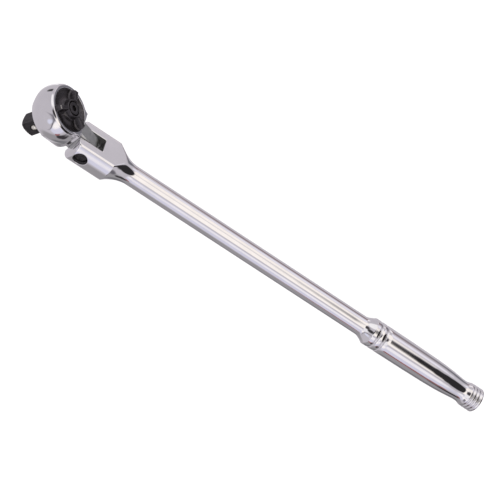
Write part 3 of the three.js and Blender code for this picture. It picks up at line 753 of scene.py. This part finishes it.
def dial_material():
    """Smoother black, with a pale steel-coloured patch at the tip of one lobe."""
    m = Nodes("black_dial_finish").set(Metallic=0.9)
    angle = math.radians(LOBE_ANGLES[2])
    tip = Vector((math.cos(angle), math.sin(angle), 0)) * (LOBE_LENGTH - 0.2)
    tip_height = DIAL_HEIGHT - LOBE_DROP
    turn = Matrix.Rotation(angle, 4, "Z")
    tip_frame = HEAD_FRAME @ Matrix.Translation((tip.x, tip.y, tip_height)) @ turn
    # a pale steel-coloured patch at the tip of the third lobe, broken up by noise
    pale_tip = m.inside(tip_frame, (0, 0, 0), (0.3, 1.3, 0.3), 0.5)
    patchy = m.ramp(m.noise(0.9, 3), [(0.35, 0.2), (0.6, 1.0)])
    pale_tip = m.math("MULTIPLY", pale_tip, patchy)
    black = m.ramp(m.noise(1.6, 6), [(0.3, (0.060, 0.056, 0.060)), (0.75, (0.105, 0.098, 0.105))])
    steel = m.ramp(m.noise(0.8, 2), [(0.3, (0.60, 0.58, 0.56)), (0.7, (0.75, 0.73, 0.71))])
    m.link(m.mix(pale_tip, black, steel), "Base Color")
    m.link(m.ramp(m.noise(1.2, 4), [(0.3, 0.24), (0.7, 0.36)]), "Roughness")
    grain = m.math("ADD", m.noise(0.6, 3), m.turning_marks(HEAD_FRAME, 0.9))
    return m.bump(grain, 0.3, 0.04).material


def metal_material(name, low, high, rough_low, rough_high, grain_mm):
    m = Nodes(name).set(Metallic=1.0)
    m.link(m.ramp(m.noise(3, 3), [(0.3, low), (0.7, high)]), "Base Color")
    m.link(m.ramp(m.noise(1.5, 3), [(0.3, rough_low), (0.7, rough_high)]), "Roughness")
    return m.bump(m.noise(grain_mm, 2), 0.1, 0.02).material


def rubber_material():
    m = Nodes("seal_rubber").set(Metallic=0.0)
    black = m.ramp(m.noise(1.5, 3), [(0.3, (0.010, 0.010, 0.010)), (0.7, (0.022, 0.021, 0.020))])
    m.link(black, "Base Color")
    m.link(m.ramp(m.noise(0.8, 3), [(0.3, 0.6), (0.7, 0.8)]), "Roughness")
    return m.bump(m.noise(0.3, 2), 0.3, 0.03).material


# [low and high colour, low and high roughness, grain in millimetres] of the bare metals
HARD_STEEL = ((0.30, 0.29, 0.28), (0.40, 0.39, 0.37), 0.22, 0.38, 0.8)
BALL_STEEL = ((0.78, 0.76, 0.68), (0.88, 0.86, 0.78), 0.1, 0.2, 0.8)
WIRE = ((0.42, 0.42, 0.43), (0.52, 0.52, 0.53), 0.2, 0.35, 0.8)
BRONZE = ((0.42, 0.25, 0.11), (0.55, 0.34, 0.16), 0.3, 0.45, 0.4)

MATERIALS = {
    "chrome_polish": chrome_material(),
    "black_oxide": black_material(),
    "hard_steel": metal_material("hardened_steel", *HARD_STEEL),
    "bright_steel": metal_material("polished_steel", *BALL_STEEL),
    "spring_steel": metal_material("spring_wire", *WIRE),
    "bronze": metal_material("sintered_bronze", *BRONZE),
    "seal_rubber": rubber_material(),
}

DIAL_FINISH = dial_material()

# ---- pieces -----------------------------------------------------------------------------------


def finish_piece(made, body, node, slot, material=None):
    made.data.materials.append(material or MATERIALS[slot])
    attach(made, body)
    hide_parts(node)


finish_piece(build_handle(), "handle", "handle", "chrome_polish")
finish_piece(
    solid("fork_pin", pin_field, (-7, -15, -7), (7, 15, 7), 0.4, HANDLE_FRAME),
    "handle", "pivot_pin", "black_oxide",
)
finish_piece(
    solid("head_forging", housing_field, (-24.5, -24.5, -24.2), (46, 24.5, 1.2), 0.45, HEAD_FRAME),
    "head", "head_housing", "chrome_polish",
)
finish_piece(
    solid("square_drive", drive_field, (-16, -16, -43), (16, 16, -3), 0.4, HEAD_FRAME),
    "drive", "drive_anvil", "black_oxide",
)
finish_piece(
    solid("detent_ball", drive_ball_field, (-3.5, -8.5, -37), (3.5, -1, -30), 0.3, HEAD_FRAME),
    "drive_ball", "drive_ball", "bright_steel",
)
finish_piece(
    solid("snap_ring", retaining_ring_field, (-12, -12, -23.2), (12, 12, -21.5), 0.25, HEAD_FRAME),
    "drive", "retaining_ring", "hard_steel",
)
finish_piece(
    solid("direction_dial", dial_field, (-18, -18, -10), (18, 18, 5.5), 0.3, HEAD_FRAME),
    "dial", "reversing_dial", "black_oxide", DIAL_FINISH,
)
finish_piece(
    solid("hex_screw", screw_field, (-6, -6, -20), (6, 6, 5), 0.22, HEAD_FRAME),
    "drive", "dial_screw", "black_oxide", DIAL_FINISH,
)

# The CAD nodes that keep their own shape take the finish that the record names for them
slot_of_node = {part["node"]: part["material_slot"] for part in frame["record"]["subparts"]}
for name, node in frame["nodes"].items():
    if not node.hide_render and name in slot_of_node:
        for material_slot in node.material_slots:
            material_slot.material = MATERIALS[slot_of_node[name]]

# ---- floor, lights and camera -----------------------------------------------------------------

# The floor lies just under the reach of the head when it is folded down. It isn't mirrored in
# the chrome, which sees the surround's grey there instead.
FLOOR_HEIGHT = -0.041
FLOOR_HALF_SIZE = 12.0

floor_finish = Nodes("pale_floor").set(Roughness=0.9, Base_Color=(0.55, 0.55, 0.55, 1))
floor_finish.set(Emission_Color=(1, 1, 1, 1), Emission_Strength=0.74)
floor_mesh = bpy.data.meshes.new("floor")
corners = [
    (x * FLOOR_HALF_SIZE, y * FLOOR_HALF_SIZE, FLOOR_HEIGHT)
    for x, y in ((-1, -1), (1, -1), (1, 1), (-1, 1))
]
floor_mesh.from_pydata(corners, [], [(0, 1, 2, 3)])
floor_mesh.materials.append(floor_finish.material)
floor = bpy.data.objects.new("floor", floor_mesh)
bpy.context.scene.collection.objects.link(floor)
floor.visible_glossy = False


def direction(azimuth, elevation):
    a, e = math.radians(azimuth), math.radians(elevation)
    return (math.cos(a) * math.cos(e), math.sin(a) * math.cos(e), math.sin(e))


# A soft studio all round, with panels and cards: [azimuth, elevation, radius and softness in
# degrees, colour]. A later one lies over the earlier ones.
SURROUND = (0.60, 0.57, 0.61)
PATCHES = (
    (-25, -55, 36, 6, (0.36, 0.345, 0.36)),
    (0, -58, 11, 7, (0.19, 0.19, 0.20)),
    (-61, -27, 4.5, 1.5, (0.30, 0.07, 0.05)),
    (-57.5, -23, 4.5, 1.5, (0.30, 0.07, 0.05)),
    (-47, -32, 7, 3, (0.05, 0.045, 0.05)),
    (-40, -31, 9, 3, (0.05, 0.045, 0.05)),
    (-27, -32, 6, 3, (0.05, 0.045, 0.05)),
    (-12, -20, 6, 5, (0.16, 0.15, 0.17)),
    (-76, -2, 25, 5, (0.76, 0.75, 0.88)),
    (-86, 3, 9, 9, (1.15, 1.10, 1.08)),
    (-63, 10, 8, 6, (1.05, 1.02, 1.05)),
    (-125, -15, 33, 2, (0.07, 0.065, 0.08)),
    (-129, -18, 34, 3, (0.60, 0.57, 0.61)),
    (-111, 1, 6, 6, (0.80, 0.81, 0.95)),
    (-95, 35, 18, 6, (1.00, 0.98, 1.00)),
    (-127, 42, 11, 4, (0.05, 0.048, 0.05)),
    (-57, 50, 17, 6, (1.18, 1.11, 1.04)),
    (20, 80, 17, 5, (1.15, 1.08, 1.01)),
    (48, 54, 9, 5, (0.95, 0.92, 1.00)),
    (-17, 37, 27, 3, (0.03, 0.028, 0.03)),
    (-5, 15, 13, 4, (0.03, 0.028, 0.03)),
    (-106, 62, 13, 6, (0.06, 0.055, 0.06)),
    (68, 28, 8, 6, (0.30, 0.23, 0.24)),
    (48, 16, 14, 5, (0.20, 0.195, 0.22)),
    (80, 37, 8, 4, (1.05, 1.00, 1.02)),
    (128, 2, 6, 3, (0.05, 0.05, 0.05)),
    (88, -30, 10, 6, (1.00, 0.99, 1.00)),
    (150, 62, 20, 6, (1.10, 1.08, 1.08)),
)

world = bpy.data.worlds.new("studio")
bpy.context.scene.world = world
world.use_nodes = True
tree = world.node_tree
sky = tree.nodes.new("ShaderNodeTexCoord").outputs["Generated"]
colour = SURROUND
for azimuth, elevation, radius, softness, shade in PATCHES:
    facing = tree.nodes.new("ShaderNodeVectorMath")
    facing.operation = "DOT_PRODUCT"
    facing.inputs[1].default_value = direction(azimuth, elevation)
    tree.links.new(sky, facing.inputs[0])
    edge = tree.nodes.new("ShaderNodeMapRange")
    edge.interpolation_type = "SMOOTHSTEP"
    edge.inputs["From Min"].default_value = math.cos(math.radians(radius + softness))
    edge.inputs["From Max"].default_value = math.cos(math.radians(max(radius - softness, 0)))
    tree.links.new(facing.outputs["Value"], edge.inputs["Value"])
    colour = mixed(tree, edge.outputs["Result"], colour, shade)
# past the floor's edge the camera sees plain white
camera_ray = tree.nodes.new("ShaderNodeLightPath").outputs["Is Camera Ray"]
colour = mixed(tree, camera_ray, colour, (1.0, 1.0, 1.0))
tree.links.new(colour, tree.nodes["Background"].inputs["Color"])

VIEW_AZIMUTH = math.radians(-27.7)
VIEW_ELEVATION = math.radians(42.24)
VIEW_ROLL = math.radians(52.66)
VIEW_AIM = Vector(JOINTS["head_flex"]["pos_m"]) + Vector((0.1406, -0.0346, 0.0382))
VIEW_DISTANCE = 1.7595
VIEW_LENS = 165.6
SENSOR_WIDTH = 36.0

back = Vector(
    (
        math.sin(VIEW_AZIMUTH) * math.cos(VIEW_ELEVATION),
        -math.cos(VIEW_AZIMUTH) * math.cos(VIEW_ELEVATION),
        math.sin(VIEW_ELEVATION),
    )
)
level = Vector((math.cos(VIEW_AZIMUTH), math.sin(VIEW_AZIMUTH), 0))
right = math.cos(VIEW_ROLL) * level + math.sin(VIEW_ROLL) * back.cross(level)
camera = bpy.data.objects.new("camera", bpy.data.cameras.new("camera"))
bpy.context.scene.collection.objects.link(camera)
camera.data.lens = VIEW_LENS
camera.data.sensor_width = SENSOR_WIDTH
camera.data.clip_end = 20.0
camera.rotation_mode = "QUATERNION"
camera.rotation_quaternion = Matrix((right, back.cross(right), back)).transposed().to_quaternion()
camera.location = VIEW_AIM + back * VIEW_DISTANCE
bpy.context.scene.camera = camera

bpy.context.scene.view_settings.view_transform = "Standard"
